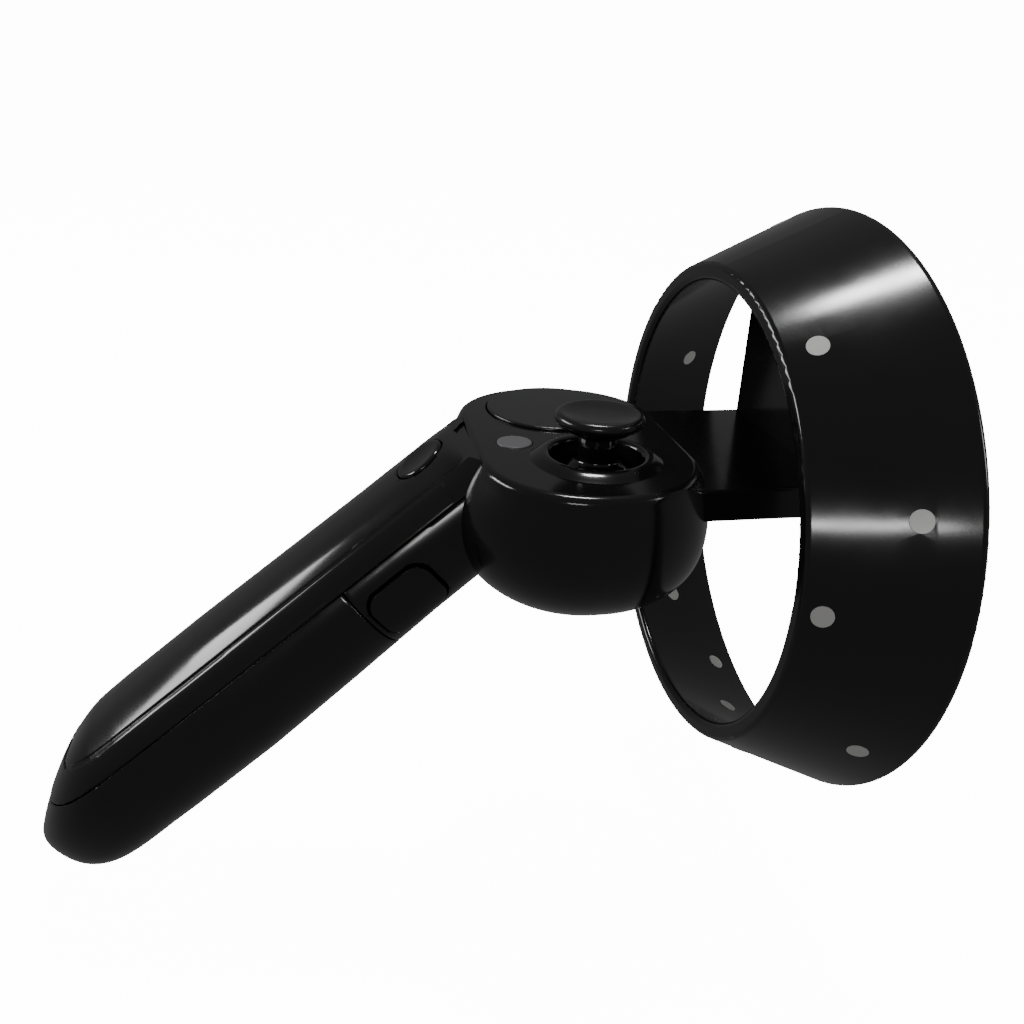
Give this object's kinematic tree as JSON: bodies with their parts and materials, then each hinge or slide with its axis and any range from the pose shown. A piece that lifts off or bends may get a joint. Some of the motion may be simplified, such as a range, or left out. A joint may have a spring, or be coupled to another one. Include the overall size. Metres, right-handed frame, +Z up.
{
  "type": "vr motion controller",
  "caption": "Hand-held motion controller with a thumbstick, touchpad, index trigger, grab button and a tracking ring on an L bracket.",
  "frame": {"origin": "centre of the grip, on the handle's middle line", "axes": "+X forward along the tracking ring's axis, +Y to the holder's left, +Z up from the head's flat face"},
  "size_m": [0.1556, 0.115, 0.1288],
  "materials": {
    "gloss_shell": "glossy moulded black plastic",
    "face_plastic": "glossy moulded black plastic",
    "side_band": "glossy moulded black plastic",
    "touchpad_plastic": "fine satin black plastic",
    "stick_rubber": "smooth moulded black rubber",
    "led_lens": "milky light-guide plastic",
    "menu_grey": "grey plastic",
    "circuit_board": "solder resist on glass-fibre board",
    "inner_plastic": "moulded nylon",
    "steel": "plain steel",
    "spring_steel": "nickel-plated steel",
    "battery_case": "printed metal can"
  },
  "bodies": {
    "controller": {"battery_contacts": "spring_steel", "battery_left": "battery_case", "battery_right": "battery_case", "battery_springs": "spring_steel", "battery_tray": "inner_plastic", "bracket_screws": "steel", "face_plate": "face_plastic", "frame_screws": "steel", "grip_pin": "steel", "grip_spring": "spring_steel", "grip_switch": "inner_plastic", "handle_board": "circuit_board", "handle_frame": "side_band", "handle_lower_shell": "gloss_shell", "handle_top_cover": "gloss_shell", "haptic_motor": "steel", "head_shell": "gloss_shell", "inner_led_lenses": "led_lens", "led_strip": "circuit_board", "main_board": "circuit_board", "menu_switch": "inner_plastic", "outer_led_lenses": "led_lens", "pad_switch": "inner_plastic", "ring_bracket": "gloss_shell", "ring_flex": "circuit_board", "ring_inner_shell": "gloss_shell", "ring_outer_shell": "gloss_shell", "stick_collar": "face_plastic", "stick_housing": "inner_plastic", "stick_sensors": "inner_plastic", "switch_carrier": "inner_plastic", "system_switch": "inner_plastic", "trigger_pin": "steel", "trigger_sensor": "inner_plastic", "trigger_spring": "spring_steel"},
    "gimbal": {"gimbal_yoke": "inner_plastic"},
    "stick": {"gimbal_cross": "inner_plastic"},
    "stick_click": {"stick_shaft": "inner_plastic", "stick_cap": "stick_rubber"},
    "touchpad": {"touchpad_disc": "touchpad_plastic", "touchpad_board": "circuit_board"},
    "menu": {"menu_button": "menu_grey"},
    "system": {"system_button": "face_plastic"},
    "trigger": {"trigger": "gloss_shell"},
    "grab": {"grip_button": "gloss_shell"},
    "battery_cover": {"battery_cover": "gloss_shell"}
  },
  "joints": [
    {"name": "stick_fore_aft", "type": "hinge", "parent": "controller", "child": "gimbal", "pos_m": [0.0662, -0.013, 0.04], "axis": [0, 1, 0], "range_deg": [-16, 16], "stiffness_Nm_per_rad": 0.02},
    {"name": "stick_left_right", "type": "hinge", "parent": "gimbal", "child": "stick", "pos_m": [0.0662, -0.013, 0.04], "axis": [1, 0, 0], "range_deg": [-16, 16], "stiffness_Nm_per_rad": 0.02},
    {"name": "stick_press", "type": "slide", "parent": "stick", "child": "stick_click", "axis": [0, 0, -1], "range_m": [0, 0.0004], "stiffness_N_per_m": 2500},
    {"name": "touchpad_press", "type": "slide", "parent": "controller", "child": "touchpad", "axis": [0, 0, -1], "range_m": [0, 0.0004], "stiffness_N_per_m": 4000},
    {"name": "menu_press", "type": "slide", "parent": "controller", "child": "menu", "axis": [0, 0, -1], "range_m": [0, 0.0004], "stiffness_N_per_m": 1500},
    {"name": "system_press", "type": "slide", "parent": "controller", "child": "system", "axis": [0.6334, 0, -0.7738], "range_m": [0, 0.0003], "stiffness_N_per_m": 2500},
    {"name": "trigger_pull", "type": "hinge", "parent": "controller", "child": "trigger", "pos_m": [0.083, 0, 0.0333], "axis": [0, 1, 0], "range_deg": [0, 12], "stiffness_Nm_per_rad": 0.08},
    {"name": "grab_squeeze", "type": "hinge", "parent": "controller", "child": "grab", "pos_m": [0.02882, -0.0116, 0.02036], "axis": [-0.6334, 0, 0.7738], "range_deg": [0, 5], "stiffness_Nm_per_rad": 0.08},
    {"name": "battery_cover_slide", "type": "slide", "parent": "controller", "child": "battery_cover", "axis": [-0.7738, 0, -0.6334], "range_m": [0, 0.065]}
  ]
}
